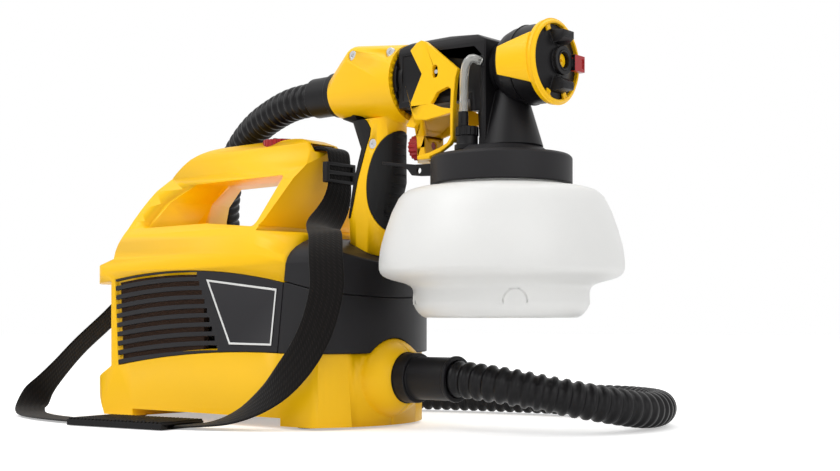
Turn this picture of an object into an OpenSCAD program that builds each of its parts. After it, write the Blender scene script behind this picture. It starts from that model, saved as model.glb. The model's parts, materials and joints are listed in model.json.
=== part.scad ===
// Paint sprayer: a cup gun on a wide air hose, docked on the air turbine that feeds it.
// Millimetres, +Z up. The case stands on the XY plane, its hose port and the gun's nozzle face +X.

/* [Turbine case] */
// Length of the case base, from the tail foot to the port end
case_l = 271; // [262:1:280]
// Width of the case
case_w = 128; // [124:1:134]
// Height to the top of the carrying handle
case_h = 228; // [222:1:236]
// Wall thickness of the case mouldings
wall = 3; // [2.4:0.2:3.6]
// Bow of the port end beyond its two corners
nose_bow = 23; // [18:1:26]
// Height of the base moulding under the dock
base_h = 56; // [53:1:58]
// Radius of the round boss that holds the hose socket
boss_r = 31; // [28:0.5:33]
// Height of the rubber feet
foot_h = 1.5; // [1:0.1:2]
// Number of slots in an intake panel
slot_count = 10; // [6:1:11]
// Height of one intake slot
slot_h = 3.8; // [3:0.1:4.4]

/* [Dock] */
// Height of the seam between the two dock mouldings
dock_seam = 100; // [92:1:106]
// Depth of the pocket that takes the foot of the gun
pocket_depth = 10; // [6:1:13]

/* [Air hose] */
// Outer diameter of the hose over its ribs
hose_d = 27; // [24:0.5:28]
// Distance between two ribs
rib_pitch = 9; // [8:0.5:12]
// Depth of the grooves between ribs
rib_depth = 2; // [1:0.1:2.4]
// Width of the strap webbing
strap_w = 25; // [20:1:27]

/* [Gun] */
// Height of the gun from its foot to the barrel axis
gun_h = 129; // [124:1:136]
// Radius of the coupling bore that takes the spray head
coupling_r = 19; // [17:0.5:20]
// Half thickness of the grip
grip_r = 15; // [13:0.5:16]

/* [Spray head] */
// Radius of the air barrel
barrel_r = 27.4; // [26:0.2:28]
// Outer radius of the yellow cap ring
ring_r = 29.2; // [28.8:0.2:32]
// Radius of the flow knob
knob_r = 9.5; // [8:0.5:11]

/* [Paint cup] */
// Radius of the cup at its widest
cup_r = 87; // [80:1:90]
// Height of the cup from its floor to its shoulder
cup_h = 87; // [82:1:92]
// Wall thickness of the cup
cup_wall = 2.2; // [1.8:0.1:2.6]
// Outer radius of the lid ring
lid_r = 50.5; // [49:0.5:54]

/* [Hidden] */
$fn = 64;
gap = 0.4;          // joint between two mouldings that sit side by side
run = 0.06;         // radial clearance of a turning fit
corner_r = 12;

// Case stations along X, measured from the middle of the base
nose_x = case_l / 2;
foot_x = -case_l / 2;
tip_x = foot_x - 15.5;
band_x = foot_x + 9;
half_w = case_w / 2;
nose_r = (half_w * half_w + nose_bow * nose_bow) / (2 * nose_bow);
nose_cx = nose_x - nose_r;
nose_sweep = 4;     // how far the dock overhangs the base at the port end

// Case stations up Z
ledge_z = 30;
sill_z = 43;
hood_z = 116;
band_top = 124;
roof_z = 151;
under_h = 6;
panel_top = 121.5;
panel_drop = 12;
shaft_z = 66;
port_z = 38;
handle_end = roof_z + 77;
tail_x = foot_x + 11;
boss_x = nose_x - 7;
socket_r = 19.4;
socket_x = boss_x + sqrt(boss_r * boss_r - pow(socket_r + 0.6, 2));

// The carrying handle
leg_foot = [45, roof_z];
leg_head = [68, handle_end - 14];
strap_z = handle_end - 10;
dial_x = 17;
dial_z = case_h - 1.4;
dial_r = 16;

// The dock is parted from the case by a leaning plane
dock_lean = 7;
dock_left = nose_x - 58;
dock_top = roof_z - 3;
pocket_z = dock_top - 8 - pocket_depth;
pocket_fit = 1.6;

// Gun stations
axis_z = pocket_z + gun_h;
gun_x0 = 85;
gun_x1 = 158;
grip_x = [99, 135];
head_x0 = gun_x1 + 3.5;
head_x1 = head_x0 + 80;
barrel_x1 = head_x1 + 40;
ring_w = 6;
// Trigger pivot, and the needle's cross pin that the trigger pulls
pivot = [head_x0 + 25, axis_z + 17.5];
cross_x = head_x0 + 39;
needle_r = 1.5;
knob_z = axis_z - 48.7;

// Cup and lid, on the axis of the pick-up tube
cup_x = head_x1 - 2;
lid_z1 = axis_z - 61.5;
lid_h = 20.5;
lid_z0 = lid_z1 - lid_h;
cup_z1 = lid_z0 - 7;
cup_z0 = cup_z1 - cup_h;
neck_r = lid_r - 5.6;
tube_r = 4;
valve = [cup_x - 13.5, -22];
valve_r = 8.1;
// Neck that carries the spray head over the lid
neck_x = cup_x + 8.5;
neck_z = lid_z1 + 5.8;

// The row's origin is the middle of the standing object's footprint box
cap_x = barrel_x1 + ring_w;
origin_x = (tip_x + cup_x + cup_r) / 2;

// ---------------------------------------------------------------- shared helpers

// Points on an arc about c, from angle a0 to a1
function arc(c, r, a0, a1, n = 8) =
    [for (i = [0:n]) let (a = a0 + (a1 - a0) * i / n) [c[0] + r * cos(a), c[1] + r * sin(a)]];

// Cubic Bezier through four control points
function bez(p, n = 6) =
    [for (i = [0:n]) let (t = i / n, s = 1 - t)
        s * s * s * p[0] + 3 * s * s * t * p[1] + 3 * s * t * t * p[2] + t * t * t * p[3]];

// A profile in X and Z, carried along Y from y0 to y1
module along_y(y0, y1) {
    translate([0, y1, 0]) rotate([90, 0, 0]) linear_extrude(y1 - y0) children();
}

// A profile in Y and Z, carried along X from x0 to x1
module along_x(x0, x1) {
    translate([x0, 0, 0]) rotate([90, 0, 90]) linear_extrude(x1 - x0) children();
}

// A cylinder along X from x0 to x1
module rod_x(x0, x1, r, y = 0, z = 0) {
    translate([x0, y, z]) rotate([0, 90, 0]) cylinder(r = r, h = x1 - x0);
}

// A tube along X
module tube_x(x0, x1, r_out, r_in, z) {
    difference() {
        rod_x(x0, x1, r_out, 0, z);
        rod_x(x0 - 1, x1 + 1, r_in, 0, z);
    }
}

// A cylinder along Y from y0 to y1
module rod_y(y0, y1, r, x, z) {
    translate([x, y0, z]) rotate([-90, 0, 0]) cylinder(r = r, h = y1 - y0);
}

// The half space in front of (side -1) or behind (side 1) the centre seam
module half_space(side, margin = 0) {
    translate([-300, side < 0 ? -200 - margin : margin, -10]) cube([700, 200, 400]);
}

function unit(v) = v / norm(v);

// Catmull-Rom curve through a list of points, with n steps a span
function spline(p, n) = concat(
    [for (i = [0:len(p) - 2], k = [0:n - 1])
        let (a = p[max(i - 1, 0)], b = p[i], c = p[i + 1], d = p[min(i + 2, len(p) - 1)], t = k / n)
        0.5 * (2 * b + (c - a) * t + (2 * a - 5 * b + 4 * c - d) * t * t + (3 * b - a - 3 * c + d) * t * t * t)],
    [p[len(p) - 1]]);

// Distance run along a curve at each of its points
function run_length(c) =
    [for (i = 0, s = 0; i < len(c); s = i < len(c) - 1 ? s + norm(c[i + 1] - c[i]) : s, i = i + 1) s];

// Stations at even distances along a curve, between start and stop
function even(c, count, start = 0, trim = 0) =
    let (s = run_length(c), total = s[len(s) - 1] - start - trim)
    [for (i = 0, j = 0; i <= count;
          i = i + 1, j = i > count ? j : seek(s, j, start + total * i / count))
        let (w = start + total * i / count, q = (w - s[j]) / max(s[j + 1] - s[j], 0.001))
        c[j] + (c[j + 1] - c[j]) * q];
function seek(s, j, w) = j < len(s) - 2 && s[j + 1] < w ? seek(s, j + 1, w) : j;

// Direction of a curve at each of its points
function headings(c) =
    [for (i = [0:len(c) - 1]) unit(c[min(i + 1, len(c) - 1)] - c[max(i - 1, 0)])];

// A side vector carried along the curve without twisting
function carried(t, side) =
    [for (i = 0, u = side; i < len(t);
          i = i + 1, u = i < len(t) ? unit(u - (u * t[i]) * t[i]) : u) u];

// Rings of points around a curve, with a radius for each ring
function rings(c, radii, side, sides) =
    let (t = headings(c), u = carried(t, side))
    [for (i = [0:len(c) - 1], k = [0:sides - 1])
        c[i] + radii[i] * (cos(360 * k / sides) * u[i] + sin(360 * k / sides) * cross(t[i], u[i]))];

// Triangles between consecutive rings: outward on the skin, or turned round for a bore
function walls(first, count, sides, inward = false) =
    [for (i = [0:count - 2], k = [0:sides - 1], h = [0, 1])
        let (a = first + i * sides + k, b = first + i * sides + (k + 1) % sides,
             tri = h == 0 ? [a, b, b + sides] : [a, b + sides, a + sides])
        inward ? tri : [tri[2], tri[1], tri[0]]];

// Triangles across a tube's end, between its outer and its inner ring
function rim(outer, inner, sides, flip) =
    [for (k = [0:sides - 1], h = [0, 1])
        let (n = (k + 1) % sides,
             tri = h == 0 ? [outer + k, outer + n, inner + n] : [outer + k, inner + n, inner + k])
        flip ? [tri[2], tri[1], tri[0]] : tri];

// A tube with a bore, swept along two sets of stations that share their ends
module swept_tube(outer, outer_r, inner, inner_r, side, sides) {
    n = len(outer);
    m = len(inner);
    skin = rings(outer, outer_r, side, sides);
    bore = rings(inner, [for (p = inner) inner_r], side, sides);
    polyhedron(concat(skin, bore), concat(
        walls(0, n, sides),
        walls(n * sides, m, sides, true),
        rim(0, n * sides, sides, false),
        rim((n - 1) * sides, (n + m - 1) * sides, sides, true)));
}

// ---------------------------------------------------------------- turbine case

// Outline of the case from above, grown or shrunk by o, and by end more at the nose
module plan(o = 0, end = 0) {
    intersection() {
        translate([nose_cx, 0]) circle(r = nose_r + o + end);
        translate([nose_cx - 40, -half_w - o]) square([nose_r + 80, case_w + 2 * o]);
    }
    translate([tip_x + corner_r, -half_w - o]) square([nose_cx - tip_x - corner_r, case_w + 2 * o]);
    translate([tip_x - o, corner_r - half_w]) square([corner_r + o + 1, case_w - 2 * corner_r]);
    for (s = [-1, 1])
        translate([tip_x + corner_r, s * (half_w - corner_r)]) circle(r = corner_r + o);
}

// Outline of the case from the side, without the handle opening
module side_outline() {
    polygon(concat(
        [[foot_x, 0], [tip_x, ledge_z], [band_x, sill_z], [band_x, hood_z], [tip_x, hood_z - 3],
         [tip_x, hood_z + 11]],
        bez([[tail_x, roof_z - 17], [tail_x, roof_z + 39], [tail_x + 31, case_h], [-34, case_h]], 14),
        [[36, case_h], [52, handle_end - 2], [62, handle_end - 6], leg_head, leg_foot,
         [nose_x - 15, roof_z - 5], [nose_x - 15, base_h], [nose_x + 10, base_h], [nose_x + 10, 0]]));
}

// Outline of the case from its end: upright sides, shoulders, and a tent up to the handle
module end_outline(inset = 0) {
    w = half_w - inset;
    right = concat([[w, 0]],
        bez([[w, band_top - inset], [w, roof_z - 11 - inset], [w - 6, roof_z - 1 - inset], [w - 14, roof_z + 9]], 5),
        [[30 - inset, case_h - 35], [20, case_h - 24]],
        arc([6, case_h - 12.5], 12.5, 10, 90));
    left = [for (i = [len(right) - 1:-1:0]) [-right[i][0], right[i][1]]];
    polygon(concat(right, left));
}

// The hand opening under the carrying handle: straight through, but for the front of the rear leg
module hand_opening() {
    top = handle_end - 32;
    difference() {
        along_y(-100, 100) offset(4, $fn = 32) offset(-4, $fn = 32) polygon([
            [-108, roof_z + 9], [-93, roof_z + 31], [-68, top], [leg_head[0] - 20, top + 0.5],
            [leg_foot[0] - 5, roof_z + 3.5], [-20, roof_z + 9]]);
        rear_leg([[-87, 46, roof_z + 2], [-70, 33, roof_z + 31]]);
        rear_leg([[-70, 33, roof_z + 31], [-46, 24, top + 2]]);
    }
}
// A stretch of the rear leg between two levels, each given by its front, half width and height
module rear_leg(levels) {
    hull() for (q = levels) translate([q[0], 0, q[2]]) linear_extrude(0.1)
        polygon([[0, 0], [-0.47 * q[1], q[1]], [-90, q[1]], [-90, -q[1]], [-0.47 * q[1], -q[1]]]);
}
// Everything past the leaning plane, moved in by inset, belongs to the dock
module dock_zone(inset = 0) {
    translate([dock_left, 0, base_h]) rotate([0, dock_lean, 0]) translate([inset, -150, -60]) cube([250, 300, 240]);
}
module dock_cut() {
    intersection() {
        dock_zone(-gap);
        translate([0, -100, base_h]) cube([300, 200, 200]);
    }
}
// The roof of the case narrows from the foot of the handle to the round shoulders of the dock
module shoulder_cut() {
    x = leg_foot[0];
    difference() {
        translate([x, -100, band_top - 2]) cube([46, 200, 33]);
        hull() {
            along_x(x - 1, x) intersection() {
                end_outline();
                translate([-100, 0]) square([200, roof_z + 4]);
            }
            along_x(x + 45.9, x + 47) dock_end(-0.5);
        }
    }
}

// Area of an intake panel on the side of the case, grown by o
module panel_area(o = 0) {
    intersection() {
        translate([-40, panel_top - 640]) circle(r = 640 + o, $fn = 720);
        difference() {
            polygon([[band_x + 10 - o, sill_z - 6], [band_x + 5 - o, hood_z + 12],
                [dock_left + 8.5 + o, hood_z + 12], [dock_left + 0.2 + o, base_h - 12]]);
            translate([50, base_h + 1 - 1060]) circle(r = 1060 - o, $fn = 720);
        }
    }
}

// The slots of an intake panel: arcs that fan out from the lower edge to the upper one
module panel_slots() {
    pitch = (hood_z - sill_z) / slot_count;
    for (i = [0:slot_count - 1]) {
        mid_z = sill_z + pitch * (i + 0.5) + 6;
        bend = 1060 - 420 * i / slot_count;
        intersection() {
            translate([30 - 70 * i / slot_count, mid_z - bend]) difference() {
                circle(r = bend + slot_h / 2, $fn = 720);
                circle(r = bend - slot_h / 2, $fn = 720);
            }
            translate([band_x + 9 - 4 * i / slot_count, mid_z - 30])
                square([130 - 27 * i / slot_count, 40]);
        }
    }
}

module case_solid() {
    intersection() {
        translate([0, 0, foot_h]) linear_extrude(case_h) plan();
        along_y(-case_w, case_w) side_outline();
        along_x(-250, 250) end_outline();
    }
}
module boss() {
    intersection() {
        translate([boss_x, 0, port_z]) sphere(r = boss_r);
        translate([-200, -100, foot_h]) cube([400 + case_l, 200, case_h]);
    }
}

// The room inside the case for motor, fans and duct
module case_cavity() {
    intersection() {
        translate([0, 0, foot_h + under_h + wall]) linear_extrude(case_h) plan(-wall);
        along_y(-case_w, case_w) polygon([[band_x + wall, 0], [nose_x - 12, 0], [nose_x - 12, base_h - wall],
            [dock_left - 30, base_h - wall], [dock_left - 24, roof_z - 5 - wall], [band_x + wall, roof_z - 5 - wall]]);
        along_x(-250, 250) end_outline(wall);
    }
}

screw_spots = [
    [foot_x + 6, 22, half_w], [foot_x + 75, 30, half_w], [30, 30, half_w], [nose_x - 35, 30, half_w],
    [-20, case_h - 14, 18], [leg_head[0] - 20, handle_end - 14, 18]];
// Bulkheads that hold the motor and the fan casing, and the ledges that the side panels rest on
module case_ribs() {
    intersection() {
        case_solid();
        union() {
            for (b = [[motor_x[0] + 10, motor_r + 3], [motor_x[1] - 13, motor_r + 3], [casing_x[1] - 30, fan_r + 6]])
                difference() {
                    translate([b[0], -100, foot_h + under_h]) cube([wall, 200, roof_z - 10]);
                    rod_x(b[0] - 1, b[0] + wall + 1, b[1] + 0.1, 0, shaft_z);
                }
            for (s = [-1, 1])
                along_y(s < 0 ? -half_w + wall : half_w - 2 * wall, s < 0 ? -half_w + 2 * wall : half_w - wall)
                    panel_area(wall + 1);
        }
    }
}
module housing(side) {
    color("gold") intersection() {
        half_space(side);
        difference() {
            union() {
                difference() {
                    case_solid();
                    case_cavity();
                }
                case_ribs();
            }
            hand_opening();
            shoulder_cut();
            dock_cut();
            translate([boss_x, 0, port_z]) sphere(r = boss_r - 1);
            rod_x(dock_left - 30, boss_x - 8, 15.3 + gap, 0, port_z);
            // undercut between the tail foot and the port-end foot
            translate([foot_x + 38, -100, 0]) cube([case_l - 93, 200, foot_h + under_h]);
            for (s = [-1, 1]) {
                along_y(s < 0 ? -half_w - 1 : half_w - wall - 0.1, s < 0 ? -half_w + wall + 0.1 : half_w + 1)
                    panel_area(gap);
                along_y(s < 0 ? -half_w - 1 : half_w - 3 * wall - 1, s < 0 ? -half_w + 3 * wall + 1 : half_w + 1)
                    panel_area(-wall);
            }
            // seat of the power dial, strap slots and the cord gland
            translate([dial_x, 0, dial_z - 7.6]) cylinder(r = dial_r + 0.4, h = 30);
            translate([dial_x, 0, dial_z - 18.6]) cylinder(r = 3 + run, h = 30);
            translate([leg_head[0] - 45, -strap_w / 2 - 1, strap_z - 3.5]) cube([60, strap_w + 2, 7]);
            translate([tip_x - 1, -strap_w / 2 - 1, hood_z + 4]) cube([16, strap_w + 2, 7]);
            translate([tip_x - 1, -strap_w / 2 - 1, hood_z - 10]) cube([9, strap_w + 2, 18]);
            rod_x(band_x - 1, band_x + 12, 8 + gap / 4, gland[0], gland[1]);
            for (p = screw_spots) rod_y(p[2] - 2.2, p[2] + 20, 4.4, p[0], p[1]);
            for (x = foot_spots, s = [-1, 1])
                translate([x, s * (half_w - 18), 0]) cylinder(r = 9 + gap / 4, h = foot_h + 2);
        }
    }
    color("gold") intersection() {
        half_space(side);
        difference() {
            boss();
            rod_x(boss_x - 32, boss_x + 60, socket_r + run, 0, port_z);
            translate([socket_x, -50, 0]) cube([60, 100, 100]);
        }
    }
}
gland = [36, 60];
module housing_front() { housing(-1); }
module housing_rear() { housing(1); }

foot_spots = [foot_x + 20, nose_x - 42];
module rubber_feet() {
    color("black") for (x = foot_spots, s = [-1, 1])
        translate([x, s * (half_w - 18), 0]) cylinder(r = 9, h = foot_h + 1.9);
}

module housing_screws() {
    color("silver") for (p = screw_spots) difference() {
        rod_y(p[2] - 2.1, p[2] - 0.2, 4.2, p[0], p[1]);
        along_y(p[2] - 1.4, p[2] + 1) translate([p[0], p[1]]) {
            square([5, 1], center = true);
            square([1, 5], center = true);
        }
    }
}

// An intake panel with its slots and a shallow frame round its edge
module intake_panel(side) {
    y = side * half_w;
    difference() {
        along_y(min(y, y - side * wall), max(y, y - side * wall)) panel_area();
        along_y(-case_w, case_w) panel_slots();
        dock_cut();
    }
}
module plate_area(o = 0) {
    offset(delta = o) polygon([[-3.5, 114], [77, 105], [71, 62], [23.5, 62.5]]);
}
module filter_cover() {
    color([0.12, 0.12, 0.13]) difference() {
        intake_panel(-1);
        along_y(-half_w - 1, -half_w + 1) plate_area(0.2);
    }
}
module nameplate() {
    color("silver") along_y(-half_w - 0.4, -half_w + 0.9) difference() {
        plate_area();
        plate_area(-1.6);
    }
    color([0.25, 0.25, 0.26]) along_y(-half_w, -half_w + 0.9) plate_area(-1.6);
}
module rear_grille() { color([0.12, 0.12, 0.13]) intake_panel(1); }
module filter_foam() {
    color("sienna") along_y(-half_w + wall + 0.4, -half_w + 3 * wall) intersection() {
        panel_area(-wall - 0.05);
        translate([band_x, 0]) square([116, 200]);
    }
}

// ---------------------------------------------------------------- dock

// Roof line of the dock from the side
module dock_side(o = 0) {
    polygon(concat([[dock_left - 40, base_h + gap], [dock_left - 40, dock_top - o]],
        bez([[dock_left - 12, dock_top - o], [nose_x - 30, dock_top - 2 - o],
            [nose_x - 4, dock_top - 16 - o], [nose_x + 12, dock_top - 30 - o]]),
        [[nose_x + 12, base_h + gap]]));
}
module dock_end(o = 0) {
    w = half_w - o;
    top = dock_top + 1 - o;
    right = bez([[w, band_top - o], [w - 1.5, top - 13], [w - 16, top - 6], [20, top]], 7);
    left = [for (i = [len(right) - 1:-1:0]) [-right[i][0], right[i][1]]];
    polygon(concat([[w, 0]], right, left, [[-w, 0]]));
}
module dock_solid(o = 0) {
    intersection() {
        translate([0, 0, base_h + gap]) linear_extrude(120) plan(-o, nose_sweep);
        along_y(-100, 100) dock_side(o);
        along_x(-100, 250) dock_end(o);
        dock_zone(o);
    }
}
module pocket_plan(o) {
    hull() for (x = grip_x) translate([x + (x == grip_x[0] ? grip_r : -grip_r), 0]) circle(r = grip_r + o, $fn = 48);
}
// Everything under the seam, which slopes down towards the port end
module below_seam(o) {
    translate([nose_x - 4, 0, dock_seam]) rotate([0, 12.5, 0]) translate([-200, -100, o - 200]) cube([400, 200, 200]);
}
module dock_body() {
    color([0.14, 0.14, 0.15]) difference() {
        intersection() {
            dock_solid();
            below_seam(-gap / 2);
        }
        intersection() {
            dock_solid(wall);
            translate([0, -100, base_h + wall]) cube([250, 200, 200]);
        }
        translate([boss_x, 0, port_z]) sphere(r = boss_r + gap);
    }
}
module dock_cover() {
    color([0.14, 0.14, 0.15]) difference() {
        difference() {
            dock_solid();
            below_seam(gap / 2);
        }
        difference() {
            dock_solid(wall);
            translate([0, 0, pocket_z - wall]) linear_extrude(60) pocket_plan(wall + pocket_fit);
        }
        translate([0, 0, pocket_z]) linear_extrude(60) pocket_plan(pocket_fit);
    }
}

// ---------------------------------------------------------------- turbine inside the case

motor_x = [band_x + 32, -32];
motor_r = 36;
casing_x = [-28, 34];
fan_r = 44;
module motor() {
    color("dimgray") difference() {
        union() {
            rod_x(motor_x[0], motor_x[1], motor_r, 0, shaft_z);
            rod_x(motor_x[0] - 10, motor_x[0], 24, 0, shaft_z);
            for (a = [0:30:330]) translate([motor_x[0] + 8, 0, shaft_z]) rotate([a, 0, 0])
                translate([0, -1.5, motor_r - 2]) cube([motor_x[1] - motor_x[0] - 16, 3, 5]);
        }
        rod_x(motor_x[0] - 20, motor_x[1] + 1, 4 + run, 0, shaft_z);
    }
}
module rotor_shaft() {
    color("silver") rod_x(motor_x[0] - 6, casing_x[1] - 5, 4, 0, shaft_z);
}
// A centrifugal fan: two discs with twelve curved blades between them
module fan(x) {
    color("lightgray") difference() {
        union() {
            rod_x(x, x + 1.6, fan_r, 0, shaft_z);
            tube_x(x + 11, x + 12.4, fan_r, 18, shaft_z);
            rod_x(x, x + 14, 8, 0, shaft_z);
            along_x(x + 1, x + 11.5) translate([0, shaft_z]) for (a = [0:30:330]) rotate(a)
                translate([14, 0]) difference() {
                    intersection() {
                        translate([10, 12]) circle(r = 21);
                        translate([0, -12]) square([fan_r - 14.2, 14]);
                    }
                    translate([10, 12]) circle(r = 19.4);
                }
        }
        rod_x(x - 1, x + 20, 4, 0, shaft_z);
    }
}
module fan_stage_1() { fan(casing_x[0] + 8); }
module fan_stage_2() { fan(casing_x[0] + 34); }
module fan_casing() {
    color("gray") difference() {
        union() {
            rod_x(casing_x[0], casing_x[1], fan_r + 6, 0, shaft_z);
            rod_x(casing_x[1] - 1, casing_x[1] + 8, 18, 0, port_z);
        }
        rod_x(casing_x[0] + wall, casing_x[0] + 27, fan_r + 3, 0, shaft_z);
        rod_x(casing_x[0] + 29, casing_x[1] - wall, fan_r + 3, 0, shaft_z);
        rod_x(casing_x[0] - 1, casing_x[0] + 31, 14, 0, shaft_z);
        rod_x(casing_x[1] - wall - 1, casing_x[1] + 9, 15.4, 0, port_z);
    }
}
module air_duct() {
    color("dimgray") tube_x(casing_x[1] + 1, boss_x - 8.2, 15.3, 13.4, port_z);
}
module power_dial() {
    color("firebrick") difference() {
        union() {
            translate([dial_x, 0, dial_z - 7.2]) cylinder(r = dial_r, h = 9.2);
            translate([dial_x, 0, dial_z - 17.6]) cylinder(r = 3, h = 12);
        }
        translate([dial_x, 0, dial_z]) cylinder(r = dial_r - 4, h = 10);
        for (a = [0:15:345]) translate([dial_x, 0, dial_z - 9]) rotate(a)
            translate([dial_r, 0, 0]) cylinder(r = 1, h = 30, $fn = 16);
    }
}
module dial_cap() {
    color("black") {
        translate([dial_x, 0, dial_z]) cylinder(r1 = dial_r - 4, r2 = dial_r - 5.5, h = 2.8);
        translate([dial_x - 1.2, -dial_r + 6, dial_z + 2.7]) cube([2.4, dial_r - 6, 0.8]);
    }
}
module cord_gland() {
    color("black") difference() {
        union() {
            rod_x(band_x, band_x + 11.9, 8, gland[0], gland[1]);
            rod_x(band_x - 3, band_x, 10, gland[0], gland[1]);
        }
        rod_x(band_x - 4, band_x + 8, 3.6, gland[0], gland[1]);
    }
}

// ---------------------------------------------------------------- air hose and strap

module hose_socket() {
    color("black") difference() {
        rod_x(boss_x - 8, socket_x, socket_r, 0, port_z);
        rod_x(boss_x - 9, socket_x + 1, 16.1, 0, port_z);
    }
}
cuff_x = [socket_x - 20, socket_x, socket_x + 11, socket_x + 48];
module hose_cuff_port() {
    color([0.09, 0.09, 0.1]) difference() {
        union() {
            rod_x(cuff_x[0], cuff_x[1], 16, 0, port_z);
            rod_x(cuff_x[1] + 0.1, cuff_x[2], 18.8, 0, port_z);
            rod_x(cuff_x[1], cuff_x[3], 16, 0, port_z);
            rod_x(cuff_x[3] - 3, cuff_x[3], 17, 0, port_z);
        }
        rod_x(cuff_x[0] - 1, cuff_x[3] + 1, 11, 0, port_z);
        rod_x(cuff_x[3] - 28, cuff_x[3] + 1, hose_d / 2 + 0.1, 0, port_z);
    }
}
module hose_cuff_gun() {
    color([0.09, 0.09, 0.1]) difference() {
        union() {
            rod_x(gun_x0 - 28, gun_x0 - 6, hose_d / 2 + 2.2, 0, axis_z);
            rod_x(gun_x0 - 6, gun_x0, 17.5, 0, axis_z);
            rod_x(gun_x0, gun_x0 + 14, 15.9, 0, axis_z);
        }
        rod_x(gun_x0 - 30, gun_x0 + 20, 11, 0, axis_z);
        rod_x(gun_x0 - 30, gun_x0 - 1, hose_d / 2 + 0.3, 0, axis_z);
    }
}

// The hose leaves the port, bends round on the floor and stands up behind the case to the gun
hose_route = [
    [174, 0, 38], [189, 0, 38], [203, 0, 38], [238, 7, 34], [270, 27, 27], [292, 58, 20], [299, 95, 15],
    [290, 134, 14], [266, 166, 14], [232, 187, 14], [192, 193, 14], [145, 191, 14], [95, 184, 14],
    [50, 174, 14], [8, 162, 14], [-28, 151, 15], [-60, 138, 22], [-88, 125, 36], [-110, 113, 56],
    [-126, 101, 81], [-134, 89, 110], [-134, 77, 141], [-126, 64, 171], [-110, 51, 198], [-87, 39, 220],
    [-60, 28.5, 236.5], [-32, 19.5, 248], [-1, 11, 255], [24, 5, 258.3], [46, 1.5, 259], [60, 0, 259], [74, 0, 259]];
hose_curve = spline(hose_route, 8);
hose_len = run_length(hose_curve)[len(hose_curve) - 1];
rib_count = floor((hose_len - 2 * hose_d) / rib_pitch);
module hose() {
    stations = concat([hose_curve[0]], even(hose_curve, 2 * rib_count, hose_d, hose_d),
        [hose_curve[len(hose_curve) - 1]]);
    radii = [for (i = [0:len(stations) - 1])
        i == 0 || i == len(stations) - 1 ? hose_d / 2 : i % 2 == 0 ? hose_d / 2 : hose_d / 2 - rib_depth];
    inner = even(hose_curve, floor(rib_count / 2));
    color([0.07, 0.07, 0.08])
        swept_tube(stations, radii, inner, hose_d / 2 - rib_depth - 1.6, [0, 1, 0], 8);
}

// The webbing leaves the handle, hangs over the dock, runs under the pad and climbs to the tail
strap_route = [
    [60, 0, strap_z - 0.8], [71, 0, strap_z - 0.8], [79, 0, 214], [81, 0, 206], [81, 0, 194], [81, 0, 183],
    [81, -4, 171], [83, -14, 160], [90, -28, 153], [104, -42, 149], [118, -54, 143], [129, -65, 128],
    [134, -69, 105],
    [131, -72, 84], [123, -75, 64], [109, -79, 44], [90, -85, 25], [66, -94, 10], [40, -103.5, 2.5],
    [14, -113, 1], [-30, -119, 1], [-79, -125, 1], [-130, -121, 1], [-170, -110, 1], [-191, -101, 3],
    [-203, -91, 9], [-203, -79, 23], [-198, -66, 39], [-190, -50, 59], [-179, -31, 80], [-167, -14, 101],
    [-155, -0.4, 116.5], [-144, 0, 120]];
// Direction of the webbing's width at each point of its route
strap_side = [
    [0, 1, 0], [0, 1, 0], [0, 1, 0], [0, 1, 0], [0, 1, 0], [0, 1, 0], [0.15, 1, 0],
    [0.45, 0.85, 0], [0.7, 0.65, 0], [0.8, 0.5, 0], [0.9, 0.35, 0.1], [1, 0.15, 0.1], [1, 0, 0.1],
    [1, 0, 0.15], [0.95, 0, 0.3], [0.9, 0.05, 0.45], [0.8, 0.2, 0.5], [0.5, 0.6, 0.35], [0.1, 1, 0.02],
    [-0.15, 1, 0], [-0.14, 1, 0], [-0.12, 1, 0], [0.02, 1, 0], [0.2, 1, 0], [0.25, 1, 0],
    [0.1, 1, -0.05], [-0.1, 1, 0], [-0.22, 1, 0], [-0.22, 1, 0], [-0.22, 1, 0], [-0.15, 1, 0],
    [0, 1, 0], [0, 1, 0]];
strap_t = 1.6;
function strap_ring(p, t, side) =
    let (across = unit(side - (side * t) * t), up = cross(t, across))
    [for (q = [[-1, -1], [1, -1], [1, 1], [-1, 1]])
        p + q[0] * strap_w / 2 * across + q[1] * strap_t / 2 * up + [0, 0, strap_t / 2]];
module strap() {
    c = spline(strap_route, 2);
    s = spline(strap_side, 2);
    t = headings(c);
    n = len(c);
    points = [for (i = [0:n - 1]) each strap_ring(c[i], t[i], s[i])];
    color([0.08, 0.08, 0.08]) polyhedron(points, concat(
        walls(0, n, 4),
        [[0, 1, 2], [0, 2, 3]], [[4 * n - 2, 4 * n - 3, 4 * n - 4], [4 * n - 1, 4 * n - 2, 4 * n - 4]]));
}
module strap_buckle() {
    color("black") translate([81, 0, 197.3]) rotate([0, 90, 0]) difference() {
        translate([-8, -strap_w / 2 - 4, -2.5]) cube([16, strap_w + 8, 5]);
        for (x = [-5.5, 1.5]) translate([x, -strap_w / 2 - 0.6, -1.6]) cube([4, strap_w + 1.2, 10]);
        translate([-11, -strap_w / 2 - 0.6, -1.2]) cube([22, strap_w + 1.2, 2.4]);
    }
}
module strap_pad() {
    pad_l = 104;
    pad_w = 46;
    color("black") translate([-22, -118.1, 0]) rotate(7.4) difference() {
        union() {
            translate([-pad_l / 2, -pad_w / 2, 0]) cube([pad_l - 4, pad_w, 4.6]);
            for (i = [0:24]) translate([-pad_l / 2 + 2 + i * 3.95, -pad_w / 2, 0]) cube([1.9, pad_w, 6]);
        }
        translate([-pad_l, -strap_w / 2 - 3, 0.6]) cube([2 * pad_l, strap_w + 6, 2.9]);
    }
}

// ---------------------------------------------------------------- gun

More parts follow.
